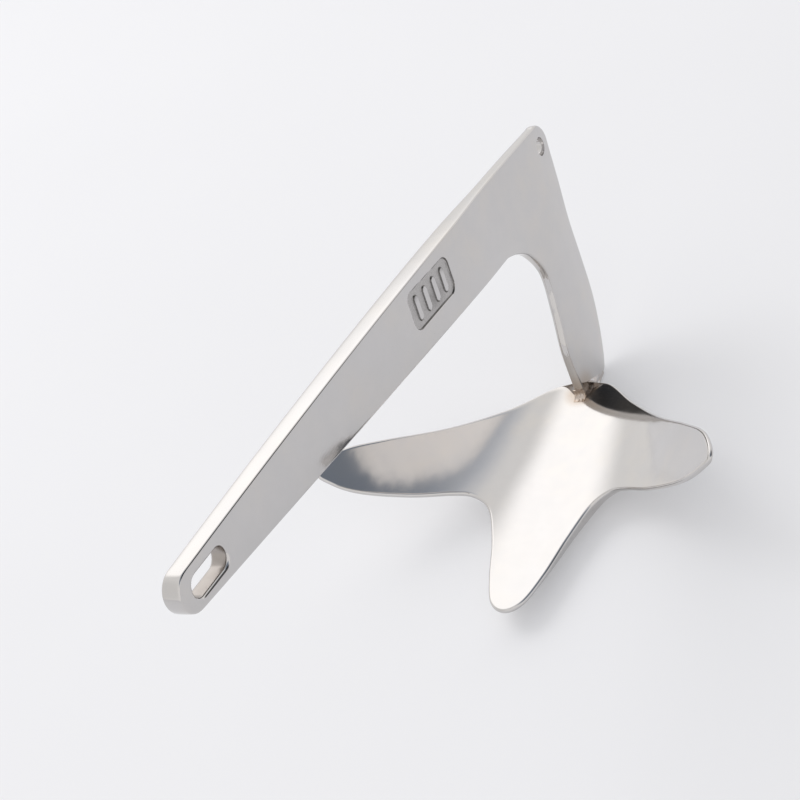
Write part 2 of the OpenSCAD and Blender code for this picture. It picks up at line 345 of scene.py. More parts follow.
# --- Shank --------------------------------------------------------------------------------------
class ShankShape:
    """Side outline of the shank: an outer edge and an inner edge, both from the foot to the eye."""

    def __init__(self, z, crown_t):
        self.z = z
        rad = z["bar_pitch"]
        self.foot = np.array([FOOT_X, crown_t])
        self.knee = np.array([FOOT_X - z["knee_back"], crown_t + z["knee_h"]])
        self.bar_dir = np.array([math.cos(rad), math.sin(rad)])
        self.bar_up = np.array([-math.sin(rad), math.cos(rad)])
        self.arm_dir = unit(self.knee - self.foot)
        self.arm_fwd = np.array([self.arm_dir[1], -self.arm_dir[0]])
        self.arm_len = float(np.linalg.norm(self.knee - self.foot))
        self.bar_end = z["bar_len"] + z["slot_len"] / 2 + z["eye_wall"]
        self.outer, self.inner = evenly(self.outer_edge()), evenly(self.inner_edge())
        both = np.vstack([self.outer, self.inner])
        self.x_min, self.x_max = both[:, 0].min(), both[:, 0].max()
        self.x_mid = (self.x_min + self.x_max) / 2

    def on_bar(self, s, n):
        return self.knee + np.multiply.outer(s, self.bar_dir) + np.multiply.outer(n, self.bar_up)

    def on_arm(self, t, o):
        return self.foot + t * self.arm_len * self.arm_dir + o * self.arm_fwd

    def bar_place(self, p):
        """Distance along the bar and above its axis, for points (x, z)."""
        q = p - self.knee
        return q @ self.bar_dir, q @ self.bar_up

    def outer_edge(self):
        z, half_w, ear = self.z, self.z["arm_w"] / 2, self.z["ear_r"]
        rear = [self.on_arm(t, o) for t, o in (
            (1, -ear), (0.84, -ear - 3), (0.67, 5 - half_w), (0.5, 0.2 - half_w),
            (0.33, -4 - half_w), (0.18, -4.2 - half_w), (0.06, -2 - half_w))] + [HEEL]
        rear = through(rear, np.linspace(0, 1, 400), self.on_arm(1.1, 1 - ear), HEEL + [5, -6])[::-1]
        rad = z["bar_pitch"]
        back = math.atan2(-self.arm_fwd[1], -self.arm_fwd[0]) + 2 * math.pi
        ear_arc = arc(self.knee, ear, back, rad + math.pi / 2)
        t = np.linspace(0, 1, 200)
        height = z["bar_top"] + (z["eye_top"] - z["bar_top"]) * t + z["bar_bow"] * 4 * t * (1 - t)
        top = self.on_bar((self.bar_end - z["eye_r"]) * t, height)
        centre = self.on_bar(self.bar_end - z["eye_r"], z["eye_top"] - z["eye_r"])
        corner = arc(centre, z["eye_r"], rad + math.radians(84), rad)
        end = self.on_bar(self.bar_end, (z["eye_top"] - z["eye_depth"]) / 2)
        return np.vstack([rear, ear_arc, top, corner, end])

    def inner_edge(self):
        z, half_w, arch = self.z, self.z["arm_w"] / 2, 68.0
        slope = (z["knee_depth"] - z["eye_depth"]) / (self.bar_end - arch)
        start = np.array([FOOT_FRONT, self.foot[1]])
        front = [start] + [self.on_arm(t, o) for t, o in (
            (0.06, half_w - 7), (0.19, half_w - 3), (0.36, half_w - 2), (0.52, half_w + 1))]
        front += [self.on_bar(s, n - z["knee_depth"]) for s, n in ((43.5, -12.5), (54, -5), (arch, 0))]
        after = self.on_bar(arch + 12, 12 * slope - z["knee_depth"])
        front = through(front, np.linspace(0, 1, 500), start + [1, -6], after)
        rad = z["bar_pitch"]
        centre = self.on_bar(self.bar_end - z["eye_r"], z["eye_r"] - z["eye_depth"])
        corner = arc(centre, z["eye_r"], rad - math.pi / 2, rad)
        end = self.on_bar(self.bar_end, (z["eye_top"] - z["eye_depth"]) / 2)
        return np.vstack([[FOOT_FRONT, HEEL[1]], front, corner, end])

    def stations(self):
        """Pairs of distances along the outer and the inner edge, one for each row of the grid.
        They run through chosen pairs of places and are then smoothed, and the rows are close
        together beside the panel and at both ends."""
        pairs = [(p, q) for p, q in (
            (self.outer[0], self.inner[0]),
            (self.on_arm(0.3, -self.z["arm_w"] / 2 - 3), self.on_arm(0.28, self.z["arm_w"] / 2 - 2)),
            (self.on_arm(0.7, 4 - self.z["arm_w"] / 2), self.on_arm(0.56, self.z["arm_w"] / 2 + 2)),
            (self.on_arm(1, -self.z["ear_r"]), self.on_bar(47, -47)),
            (self.on_bar(0, self.z["bar_top"]), self.on_bar(50, -34)),
            (self.on_bar(80, self.z["bar_top"] + 2), self.on_bar(88, -24)),
            (self.on_bar(115, 13), self.on_bar(118, -22)),
            (self.on_bar(168, 13), self.on_bar(169, -18)),
            (self.on_bar(self.bar_end - 8, 10), self.on_bar(self.bar_end - 8, -7)),
            (self.outer[-1], self.inner[-1]))]
        counts = (30, 34, 40, 36, 34, 14, 150, 44, 26)
        so, si = along(self.outer), along(self.inner)
        near_o = [so[np.argmin(np.linalg.norm(self.outer - p, axis=1))] for p, _ in pairs]
        near_i = [si[np.argmin(np.linalg.norm(self.inner - q, axis=1))] for _, q in pairs]
        near_o[-1], near_i[-1] = so[-1], si[-1]
        knots = np.concatenate([[0], np.cumsum(counts)])
        rows = np.arange(knots[-1] + 1)
        o = softened(np.interp(rows, knots, near_o), 7)
        i = softened(np.interp(rows, knots, near_i), 7)
        return (o, so), (i, si)

    def edges(self):
        """Points and inward unit normals of both edges at the stations."""
        found = []
        for (at, s), path, turn in zip(self.stations(), (self.outer, self.inner), (1, -1)):
            smooth = softened(path, 6)
            tangent = unit(softened(np.gradient(smooth, axis=0), 5))
            inward = turn * np.stack([tangent[:, 1], -tangent[:, 0]], axis=1)
            pick = lambda a: np.stack([np.interp(at, s, a[:, k]) for k in (0, 1)], axis=1)
            point, normal = pick(smooth), unit(pick(inward))
            found.append((point, normal))
        (outer, n_out), (inner, n_in) = found
        n_out[-1] = n_in[-1] = -self.bar_dir
        outer[-1] = inner[-1] = (outer[-1] + inner[-1]) / 2
        return outer, n_out, inner, n_in

    def half_t(self, x):
        """Half of the thickness at x: straight runs between the arm, the bar and the eye, rounded off."""
        z, ease = self.z, 0.3
        knots = [self.x_min - 5, FOOT_FRONT, FOOT_X + 42, FOOT_X + 80, (FOOT_X + 80 + self.x_max) / 2,
                 self.x_max + 5]
        eased = z["bar_t"] - 2 * ease
        thick = np.array([z["arm_t"], z["arm_t"], eased, z["bar_t"], eased, z["eye_t"]])
        grid = np.arange(self.x_min - 20, self.x_max + 20, 0.5)
        return np.interp(x, grid, softened(np.interp(grid, knots, thick / 2), 20))


def rounded_distance(a, b, length, height, corner):
    """Distance outside a rounded rectangle, negative inside: the length of the part beyond the
    inner rectangle, plus its larger side while inside, less the corner radius."""
    qa, qb = np.abs(a) - (length / 2 - corner), np.abs(b) - (height / 2 - corner)
    outside = np.hypot(np.maximum(qa, 0), np.maximum(qb, 0))
    return outside + np.minimum(np.maximum(qa, qb), 0) - corner


def recess_depth(shape, panel, x, z):
    """Depth of the marked panel at points of the side face: a smooth step at the rounded
    rectangle's edge, less a smooth step at each slug's edge."""
    s, n = shape.bar_place(np.stack([x, z], axis=-1))
    s, n = s - panel["at"], n + panel["down"]
    c, d = math.cos(panel["tilt"]), math.sin(panel["tilt"])
    a, b = s * c + n * d, n * c - s * d
    wall = panel["wall"]
    edge = rounded_distance(a, b, panel["length"], panel["height"], panel["corner"])
    floor = smoothstep(0.5 - edge / wall)
    pitch = (panel["length"] - 2 * panel["slug_gap"]) / panel["slug_count"]
    tall = panel["height"] - 2 * panel["slug_gap"]
    middle = np.arange(panel["slug_count"]) - (panel["slug_count"] - 1) / 2
    raised = np.zeros_like(a)
    for m in middle * pitch:
        off = rounded_distance(a - m, b, panel["slug_w"], tall, panel["slug_w"] / 2 - 0.01)
        raised = np.maximum(raised, smoothstep(0.5 - off / wall))
    return panel["depth"] * floor * (1 - 0.88 * raised)


def shank_grid(shape, panel):
    """Each row is one closed section: the middle of the inner edge, its rounded crease, the +Y
    face, the outer edge, the -Y face and back. Across a face the half thickness is
    h - bulge * w^2, w running from -1 to 1, and a crease is a quarter circle."""
    z = shape.z
    outer, n_out, inner, n_in = shape.edges()
    columns, flat_n, round_n = 74, 4, 6
    s_mid, _ = shape.bar_place((outer + inner) / 2)
    on_bar = smoothstep((s_mid - 10) / 50)
    crease = z["arm_crease_r"] + (z["crease_r"] - z["arm_crease_r"]) * on_bar
    bulge = z["arm_lens"] + (z["bar_lens"] - z["arm_lens"]) * on_bar
    width = np.linalg.norm(outer - inner, axis=1)
    bulge = bulge * smoothstep(width / 14)

    def ring(edge, normal):
        """Points of one edge from its middle (y = 0) out to the face."""
        half = shape.half_t(edge[:, 0]) - bulge
        straight = np.linspace(0, 1, flat_n, endpoint=False)[None, :] * (half - crease)[:, None]
        dome = 0.12 * (straight / half[:, None]) ** 2
        a = np.linspace(0, math.pi / 2, round_n + 1)[None, :]
        depth = np.hstack([dome, 0.12 + crease[:, None] * (1 - np.cos(a))])
        y = np.hstack([straight, (half - crease)[:, None] + crease[:, None] * np.sin(a)])
        p = edge[:, None, :] + depth[..., None] * normal[:, None, :]
        return np.stack([p[..., 0], y, p[..., 1]], axis=-1)

    low, high = ring(inner, n_in), ring(outer, n_out)
    v = np.linspace(0, 1, columns + 1)[None, 1:-1, None]
    start, end = low[:, -1, ::2][:, None, :], high[:, -1, ::2][:, None, :]
    face = start + (end - start) * v
    w = 2 * v[..., 0] - 1
    half = shape.half_t(face[..., 0]) - bulge[:, None] * w**2
    marked = half - recess_depth(shape, panel, face[..., 0], face[..., 1])
    plus = np.stack([face[..., 0], marked, face[..., 1]], axis=-1)
    minus = np.stack([face[..., 0], -half, face[..., 1]], axis=-1)
    mirror = np.array([1, -1, 1])
    loop = np.concatenate(
        [low, plus, high[:, ::-1], high[:, 1:] * mirror, minus[:, ::-1], low[:, :0:-1] * mirror], axis=1
    )
    return loop


def hole_tool(name, shape, outline, s, n, half, rim, x_mid):
    """A cutter: the outline grows toward both faces as a quarter circle of radius rim, and then
    on in a straight flare."""
    turn = np.linspace(0, math.radians(72), 9)
    y = np.concatenate([[0, (half - rim) * 0.6], half - rim + rim * np.sin(turn)])
    grow = np.concatenate([[0, 0], rim * (1 - np.cos(turn))])
    out = 1.2
    y = np.append(y, y[-1] + out * math.cos(turn[-1]))
    grow = np.append(grow, grow[-1] + out * math.sin(turn[-1]))
    y, grow = np.concatenate([-y[:0:-1], y]), np.concatenate([grow[:0:-1], grow])
    p = np.stack([outline(g) for g in grow])
    xz = shape.on_bar(s + p[..., 0], n + p[..., 1])
    points = np.stack([xz[..., 0], np.broadcast_to(y[:, None], xz.shape[:2]), xz[..., 1]], axis=-1)
    return make_mesh(name, placed(points, x_mid), tube_faces(points))


def oblong(length, width, n=24):
    """A function from an offset to the outline of a slot with round ends, that offset larger."""

    def outline(grow):
        r, straight = width / 2 + grow, (length - width) / 2
        right = arc((straight, 0), r, -math.pi / 2, math.pi / 2, n)
        left = arc((-straight, 0), r, math.pi / 2, 1.5 * math.pi, n)
        return np.vstack([right, left])

    return outline


def circle(d, n=56):
    return lambda grow: arc((0, 0), d / 2 + grow, 0, 2 * math.pi, n + 1)[:-1]


# --- Claw ---------------------------------------------------------------------------------------
class ClawShape:
    """Upper face: crown_t + rise * ((x - low) / 100)^2 + (cup - fade * x / 100) * (y / 100)^2
    - ease * (y / 100)^4."""

    LOW, RISE, FADE, EASE = 37.0, 4.2, 29.4, 5.1

    def __init__(self, z):
        self.z = z

    def top(self, x, y):
        return (
            self.z["crown_t"]
            + self.RISE * ((x - self.LOW) / 100) ** 2
            + (self.z["cup"] - self.FADE * x / 100) * (y / 100) ** 2
            - self.EASE * (y / 100) ** 4
        )

    def normal(self, x, y):
        dx = 2 * self.RISE * (x - self.LOW) / 1e4 - self.FADE / 100 * (y / 100) ** 2
        dy = 2 * (self.z["cup"] - self.FADE * x / 100) * y / 1e4 - 4 * self.EASE * y**3 / 1e8
        return unit(np.stack([-dx, -dy, np.ones_like(dx)], axis=-1))

    def edges(self, rows):
        """Rear and front outline with inward normals, at shares u that run from the left tip
        (-1) through the middle (0) to the right tip (1)."""
        hs, tip_x = self.z["half_span"], FOOT_X + self.z["palm_reach"]
        tip = [83.5, hs]
        rear = [tip, [68, 0.935 * hs], [52, 0.78 * hs], [33, 0.57 * hs], [10, 0.34 * hs],
                [-11, 0.13 * hs], [NOTCH_X, 0]]
        front = [tip, [86.5, 0.93 * hs], [85, 0.81 * hs], [77, 0.61 * hs], [69, 0.45 * hs],
                 [67, 0.355 * hs], [tip_x - 60.5, 27], [tip_x - 42, 19.8], [tip_x - 20, 14],
                 [tip_x - 5, 8.2], [tip_x, 0]]
        side = np.linspace(-1, 1, rows)
        u = 1 - np.abs(side)
        # rows crowd together at the tips, where the outline turns fast
        u = u**1.25
        found = []
        for points, other in ((rear, front), (front, rear)):
            last = [points[-2][0], -points[-2][1]]
            fine = np.linspace(0, 1, 4001)
            path = through(points, fine, other[1], last)
            tangent = np.gradient(path, axis=0)
            tangent[0] = unit(through(points, np.array([1e-4]), other[1], last)[0] - path[0])
            tangent = unit(tangent)
            pick = lambda a, at: np.stack([np.interp(at, fine, a[:, k]) for k in (0, 1)], axis=1)
            p, t = pick(path, u), unit(pick(tangent, u))
            turn = 1 if points is rear else -1
            n = turn * np.stack([-t[:, 1], t[:, 0]], axis=1)
            flip = np.where(side < 0, -1.0, 1.0)[:, None]
            mirror = np.hstack([np.ones_like(flip), flip])
            found.append((p * mirror, n * mirror))
        (rear_p, rear_n), (front_p, front_n) = found
        for k, s in ((0, -1), (-1, 1)):
            rear_n[k] = front_n[k] = [0, -s]
        return u, rear_p, rear_n, front_p, front_n


def claw_grid(shape, rows=321, columns=54, round_n=8):
    """Each row is one closed section from the rear edge over the upper face to the front edge
    and back underneath. Near an edge the half thickness follows a quarter of an ellipse."""
    z = shape.z
    u, rear, rear_n, front, front_n = shape.edges(rows)
    a = np.linspace(0, math.pi / 2, round_n + 1)
    inset = z["rim_round"] * (1 - np.cos(a))
    swell = np.sin(a)
    near_rear = rear[:, None] + inset[None, :, None] * rear_n[:, None]
    near_front = front[:, None] + inset[None, :, None] * front_n[:, None]
    v = np.linspace(0, 1, columns + 1)[None, 1:-1, None]
    middle = near_rear[:, -1:] + (near_front[:, -1:] - near_rear[:, -1:]) * v
    plan = np.concatenate([near_rear, middle, near_front[:, ::-1]], axis=1)
    full = np.concatenate([swell, np.ones(columns - 1), swell[::-1]])
    step = np.linalg.norm(np.diff(plan, axis=1), axis=2)
    run = np.concatenate([np.zeros((rows, 1)), np.cumsum(step, axis=1)], axis=1)
    v_all = run / np.maximum(run[:, -1:], 1e-9)
    u = u[:, None]
    edge_t = z["rim_t"] + (z["notch_t"] - z["rim_t"]) * u**8 * np.maximum(0, 1 - 2 * v_all)
    t = edge_t + (z["crown_t"] - edge_t) * (1 - (2 * v_all - 1) ** 4) * (1 - (1 - u) ** 2)
    x, y = plan[..., 0], plan[..., 1]
    normal = shape.normal(x, y)
    middle_face = np.stack([x, y, shape.top(x, y)], axis=-1) - 0.5 * t[..., None] * normal
    upper = middle_face + 0.5 * (t * full)[..., None] * normal
    lower = middle_face - 0.5 * (t * full)[..., None] * normal
    return np.concatenate([upper, lower[:, -2:0:-1]], axis=1)


# --- Welds --------------------------------------------------------------------------------------
def fillet_grid(root, out, up, leg, ripple, pitch, n=16):
    """A fillet carried along a path. Its section is hollow toward the corner:
    out = leg (1 - sin a)^1.3 and up = leg (1 - cos a)^1.3, closed behind through the corner, with
    ripples of ripple * |cos| along the path."""
    s = along(root)[:, None]
    a = np.linspace(0, math.pi / 2, n)[None, :]
    lift = ripple * (np.abs(np.cos(math.pi * s / pitch)) - 0.5) * np.sin(2 * a)
    o = leg * (1 - np.sin(a)) ** 1.3 + lift
    h = leg * (1 - np.cos(a)) ** 1.3 + lift
    deep = -0.5 * np.ones_like(s)
    o = np.hstack([o, deep, deep, leg + 0 * s])
    h = np.hstack([h, leg + 0 * s, deep, deep])
    return root[:, None] + o[..., None] * np.asarray(out) + h[..., None] * np.asarray(up)


def wedge_grid(rim_top, rim_low, foot_top, foot_low, sag, ripple, pitch, n=22):
    """Fills the wedge between the side of the notch and the foot. Across, at the share w, the
    upper face is rim (1 - w) + foot w, sinking by sag * sin(pi w)^0.8, with ripples along it."""
    s = along(rim_top)[:, None]
    w = np.linspace(0, 1, n)[None, :]
    top = rim_top[:, None] * (1 - w[..., None]) + foot_top[:, None] * w[..., None]
    wave = ripple * (np.abs(np.cos(math.pi * s / pitch)) - 0.5)
    top[..., 2] -= (sag[:, None] - wave) * np.sin(math.pi * w) ** 0.8
    low = foot_low[:, None] * (1 - w[..., None]) + rim_low[:, None] * w[..., None]
    return np.concatenate([top, low], axis=1)


# --- Shader tools -------------------------------------------------------------------------------
class Value:
    """A number or vector in a shader. Operators on it add Math nodes."""

    def __init__(self, tree, socket):
        self.tree, self.socket = tree, socket

    def node(self, kind, settings=None, output=0, **inputs):
        """Adds a node of a type, with its settings first and then its sockets, and gives an output."""
        made = self.tree.nodes.new(kind)
        for name, value in (settings or {}).items():
            setattr(made, name, value)
        for name, value in inputs.items():
            key = int(name[1:]) if name[0] == "i" and name[1:].isdigit() else name.replace("_", " ")
            target = made.inputs[key]
            if isinstance(value, Value):
                self.tree.links.new(value.socket, target)
            else:
                target.default_value = value
        return Value(self.tree, made.outputs[output])

    def math(self, kind, a, b=0.0):
        return self.node("ShaderNodeMath", {"operation": kind}, i0=a, i1=b)

    def __add__(self, other):
        return self.math("ADD", self, other)

    def __sub__(self, other):
        return self.math("SUBTRACT", self, other)

    def __mul__(self, other):
        return self.math("MULTIPLY", self, other)

    def __rsub__(self, other):
        return self.math("SUBTRACT", other, self)

    __radd__, __rmul__ = __add__, __mul__

    def least(self, other):
        return self.math("MINIMUM", self, other)

    def most(self, other):
        return self.math("MAXIMUM", self, other)

    def absolute(self):
        return self.math("ABSOLUTE", self)

    def step(self, low, high):
        """0 below low, 1 above high, and a smooth rise between them."""
        return self.node(
            "ShaderNodeMapRange",
            {"interpolation_type": "SMOOTHSTEP", "clamp": True},
            Value=self, From_Min=low, From_Max=high,
        )

    def mix(self, a, b):
        """Colour a where this is 0 and b where it is 1."""
        return self.node("ShaderNodeMix", {"data_type": "RGBA"}, output=2, i0=self, i6=a, i7=b)


def new_material(name):
    """An empty material with its Principled shader, and a Value on its object coordinates."""
    made = bpy.data.materials.new(name)
    made.use_nodes = True
    tree = made.node_tree
    tree.nodes.clear()
    shader = tree.nodes.new("ShaderNodeBsdfPrincipled")
    output = tree.nodes.new("ShaderNodeOutputMaterial")
    tree.links.new(shader.outputs[0], output.inputs[0])
    place = tree.nodes.new("ShaderNodeTexCoord")
    return made, shader, Value(tree, place.outputs["Object"])


def rgba(c, k=1.0):
    return (c[0] * k, c[1] * k, c[2] * k, 1.0)


def noise(at, scale, detail=2.0, rough=0.5, stretch=None):
    """Noise between about 0.25 and 0.75; stretch gives a scale for each axis and a turn."""
    if stretch:
        squeeze, turn = stretch
        at = at.node("ShaderNodeMapping", {"vector_type": "POINT"}, Vector=at, Scale=squeeze, Rotation=turn)
    return at.node("ShaderNodeTexNoise", Vector=at, Scale=scale, Detail=detail, Roughness=rough)


def oblong_mask(at, middle, x_mid, turn, length, height, corner):
    """1 inside a rounded rectangle of the side view, which is turned by an angle: where the
    distance outside its inner rectangle is less than the corner radius."""
    local = at.node("ShaderNodeVectorMath", {"operation": "SUBTRACT"}, i0=at,
                    i1=((middle[0] - x_mid) * MM, 0.0, middle[1] * MM))
    beyond = []
    for axis, size_mm in (((math.cos(turn), 0.0, math.sin(turn)), length),
                          ((-math.sin(turn), 0.0, math.cos(turn)), height)):
        off = at.node("ShaderNodeVectorMath", {"operation": "DOT_PRODUCT"}, output=1, i0=local, i1=axis)
        beyond.append((off.absolute() - (size_mm / 2 - corner) * MM).most(0.0))
    a, b = beyond
    reach = at.math("SQRT", a * a + b * b)
    return reach.step((corner + 0.45) * MM, (corner + 0.25) * MM)


def wire(shader, **inputs):
    for name, value in inputs.items():
        target = shader.inputs[name.replace("_", " ")]
        if isinstance(value, Value):
            value.tree.links.new(value.socket, target)
        else:
            target.default_value = value


def polished(name, finish, along_axis, x_mid, tint_at=None, marked=None, wave=1.0):
    """Polished stainless steel: large soft waves left by hand polishing, fine polishing lines
    along one direction, small dull patches and a straw heat tint round a place. marked gives
    three masks: a matt cast floor, residue and painted shade on its walls, and an unpolished wall of a
    slot."""
    made, shader, at = new_material(name)
    patches = noise(at, 26.0, 3.0, 0.55)
    fine = noise(at, 95.0, 4.0, 0.6)
    lines = noise(at, 1.0, 3.0, 0.6, ((60.0, 1900.0, 1900.0), (0.0, along_axis, 0.0)))
    waves = noise(at, 15.0, 1.5, 0.4)
    pits = noise(at, 900.0, 2.0, 0.5)
    tone = patches.step(0.35, 0.68).mix(rgba(finish.steel), rgba(finish.warm))
    tone = fine.step(0.2, 0.8).mix(tone, rgba(finish.steel, 0.97))
    rough = finish.gloss + (patches - 0.5) * 0.07 + (fine - 0.5) * 0.05 + (lines - 0.5) * 0.05
    height = waves * (WAVE * wave) + patches * (PATCH * wave) + lines * LINE + pits * PIT
    if tint_at is not None:
        (cx, cy, cz), near, far = tint_at
        off = at.node("ShaderNodeVectorMath", {"operation": "DISTANCE"}, output=1,
                      i0=at, i1=((cx - x_mid) * MM, cy * MM, cz * MM))
        ring = (off + (fine - 0.5) * (3 * MM)).step(far * MM, near * MM)
        tone = (ring * 0.5).mix(tone, rgba(finish.tint))
        rough = rough + ring * 0.12
    if marked is not None:
        mask, wall, slot = marked(at)
        cast = noise(at, 1500.0, 3.0, 0.6)
        tone = mask.mix(tone, (cast.step(0.3, 0.7)).mix(rgba(finish.recess), rgba(finish.recess, 0.8)))
        # Grime and painted shade: the walls of the recess are darkened
        tone = (wall * (0.55 + cast * 0.6)).least(1.0).mix(tone, rgba(finish.grime_and_shade))
        tone = (slot * (0.45 + fine * 0.5)).mix(tone, rgba(finish.bore))
        rough = rough + mask * 0.22 + slot * 0.2
        height = height + mask * cast * 0.04
    bump = at.node("ShaderNodeBump", Strength=1.0, Distance=MM, Height=height)
    wire(shader, Base_Color=tone, Roughness=rough.most(0.03), Normal=bump, Metallic=1.0)
    return made


# --- Building -----------------------------------------------------------------------------------
def settings():
    s = bpy.context.scene
    return s.anchor_shank, s.anchor_panel, s.anchor_claw, s.anchor_weld, s.anchor_finish, s.anchor_studio


def shapes():
    """The shank's and the claw's shape from the scene's settings."""
    shank, _, claw, _, _, _ = settings()
    claw_shape = ClawShape(in_mm(claw))
    return ShankShape(in_mm(shank), claw_shape.z["crown_t"]), claw_shape


class ANCHOR_OT_shank(bpy.types.Operator):
    """Makes the shank with its slot, trip-line hole and marked panel"""

    bl_idname = "anchor.shank"
    bl_label = "Shank"

    def execute(self, context):
        _, panel, _, _, finish, _ = settings()
        shape, _ = shapes()
        low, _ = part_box("shank")
        if abs(low[0] - (shape.x_min - shape.x_mid) * MM) > MM:
            raise RuntimeError("the shank's outline doesn't end where the frame's shank ends")
        panel = in_mm(panel)
        grid = shank_grid(shape, panel)
        rows, loop = grid.shape[:2]
        faces = loop_faces(rows, loop).tolist() + cap_faces(0, loop)
        obj = make_mesh("polished_shank", placed(grid, shape.x_mid), faces)
        z = shape.z
        half = float(shape.half_t(shape.on_bar(z["bar_len"], 0)[0]))
        ear = z["arm_t"] / 2
        cut(obj, [
            hole_tool("slot_tool", shape, oblong(z["slot_len"], z["slot_w"]), z["bar_len"], SLOT_UP,
                      half, z["slot_round"], shape.x_mid),
            hole_tool("hole_tool", shape, circle(z["trip_d"]), 0.0, 0.0, ear, z["hole_round"], shape.x_mid),
        ])

        slot_mid = shape.on_bar(z["bar_len"], SLOT_UP)
        panel_mid = shape.on_bar(panel["at"], -panel["down"])
        face, floor = z["bar_t"] / 2, z["bar_t"] / 2 - panel["depth"]

        def marked(at):
            """Masks of the recess under the side face, of the walls between that face and the
            floor of the recess, which get grime and painted shade, and of the wall of the slot."""
            y = at.node("ShaderNodeSeparateXYZ", output=1, Vector=at)
            inside = oblong_mask(at, panel_mid, shape.x_mid, z["bar_pitch"] + panel["tilt"],
                                 panel["length"], panel["height"], panel["corner"])
            inside = inside * y.step(0.0, MM)
            deep = y.step((face - 0.2) * MM, (face - 0.5) * MM)
            under_face = y.step((face - 0.16) * MM, (face - 0.24) * MM)
            # The walls' mask, where grime and painted shade darken the recess
            wall = under_face * y.step((floor - 0.06) * MM, (floor + 0.02) * MM)
            slot = oblong_mask(at, slot_mid, shape.x_mid, z["bar_pitch"],
                               z["slot_len"], z["slot_w"], z["slot_w"] / 2)
            slot = slot * y.absolute().step((half - 0.5) * MM, (half - 1.6) * MM)
            return inside * deep, inside * wall, slot

        obj.data.materials.clear()
        obj.data.materials.append(
            polished("polished_steel_shank", finish, z["bar_pitch"], shape.x_mid,
                     ((FOOT_X + 8, 0.0, 12.0), 4.0, 14.0), marked)
        )
        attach(obj, "root")
        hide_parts("shank")
        return {"FINISHED"}


class ANCHOR_OT_claw(bpy.types.Operator):
    """Makes the claw with its three palms and rounded rim"""

    bl_idname = "anchor.claw"
    bl_label = "Claw"

    def execute(self, context):
        finish = settings()[4]
        shank, shape = shapes()
        grid = claw_grid(shape)
        rows, loop = grid.shape[:2]
        obj = make_mesh("polished_claw", placed(grid, shank.x_mid), loop_faces(rows, loop))
        obj.data.materials.append(
            polished("polished_steel_claw", finish, 0.0, shank.x_mid,
                     ((FOOT_X + 9, 0.0, 9.5), 5.0, 11.0), wave=1.3)
        )
        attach(obj, "root")
        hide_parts("claw")
        return {"FINISHED"}


class ANCHOR_OT_welds(bpy.types.Operator):
    """Makes the weld wedges beside the foot and the beads before and under it"""

    bl_idname = "anchor.welds"
    bl_label = "Welds"

    def execute(self, context):
        weld, finish = in_mm(settings()[3]), settings()[4]
        shank, claw = shapes()
        steel = weld_material(finish, shank.x_mid)
        half = shank.z["arm_t"] / 2 - 0.2
        grid = claw_grid(claw)
        ring, under = 4, grid.shape[1] - 6
        rows = np.arange(grid.shape[0])
        notch = rows[(rows > grid.shape[0] // 2) & (grid[:, 0, 1] < NOTCH_SHARE * claw.z["half_span"])
                     & (grid[:, 0, 1] > half + 0.6)][::-1]
        rim_top, rim_low = grid[notch, ring], grid[notch, under]
        t = np.linspace(1, 0, len(notch))
        foot_x = HEEL[0] + 5 + (rim_top[0, 0] - HEEL[0] - 5) * t
        foot_top = np.column_stack([foot_x, half + 0 * t, 3 + (rim_top[0, 2] - 1) * t**0.9])
        foot_low = np.column_stack([foot_x, half + 0 * t, 1.4 + (rim_low[0, 2] - 1.4) * t])
        sag = 1.1 * np.sin(math.pi * np.clip(1.1 * (1 - t), 0, 1))
        ripples = weld["ripple"], weld["ripple_pitch"]
        wedge = wedge_grid(rim_top, rim_low, foot_top, foot_low, sag, *ripples)
        self.piece("weld_wedge_right", wedge, steel, shank, "weld_right")
        self.piece("weld_wedge_left", wedge * [1, -1, 1], steel, shank, "weld_left")
        y = np.linspace(-half, half, 40)
        x = np.full_like(y, FOOT_FRONT)
        before = np.column_stack([x, y, claw.top(FOOT_FRONT, y)])
        bead = fillet_grid(before, [1, 0, 0.0], [0, 0, 1.0], weld["leg"], *ripples)
        self.piece("weld_bead_front", bead, steel, shank, "weld_front")
        middle = grid[len(grid) // 2]
        low_half = middle[len(middle) // 2 :]
        z = float(np.interp(FOOT_FRONT + 1, low_half[::-1, 0], low_half[::-1, 2]))
        under = np.column_stack([x, y, np.full_like(y, z)])
        bead = fillet_grid(under, [1, 0, -0.18], [0, 0, -1.0], weld["leg"], *ripples)
        self.piece("weld_bead_under", bead, steel, shank, "weld_under")
        return {"FINISHED"}

    @staticmethod
    def piece(name, grid, steel, shank, node):
        obj = make_mesh(name, placed(grid, shank.x_mid), tube_faces(grid), 50)
        obj.data.materials.append(steel)
        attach(obj, "root")
        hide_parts(node)


def weld_material(finish, x_mid):
    """Dressed weld metal: steel with straw and brown bands, duller than the polished faces."""
    made, shader, at = new_material("dressed_weld")
    patches = noise(at, 260.0, 4.0, 0.6)
    fine = noise(at, 1400.0, 3.0, 0.6)
    x = at.node("ShaderNodeSeparateXYZ", output=0, Vector=at)
    front = x.step((FOOT_X + 9 - x_mid) * MM, (FOOT_X + 12 - x_mid) * MM)
    brown = (patches.step(0.38, 0.6) * 0.35 + front * 0.55).least(0.9)
    tone = brown.mix(rgba(finish.steel), rgba(finish.tint))
    rough = 0.2 + (patches - 0.5) * 0.2
    height = patches * 0.12 + fine * 0.012
    bump = at.node("ShaderNodeBump", Strength=1.0, Distance=MM, Height=height)
    wire(shader, Base_Color=tone, Roughness=rough.most(0.08), Normal=bump, Metallic=1.0)
    return made


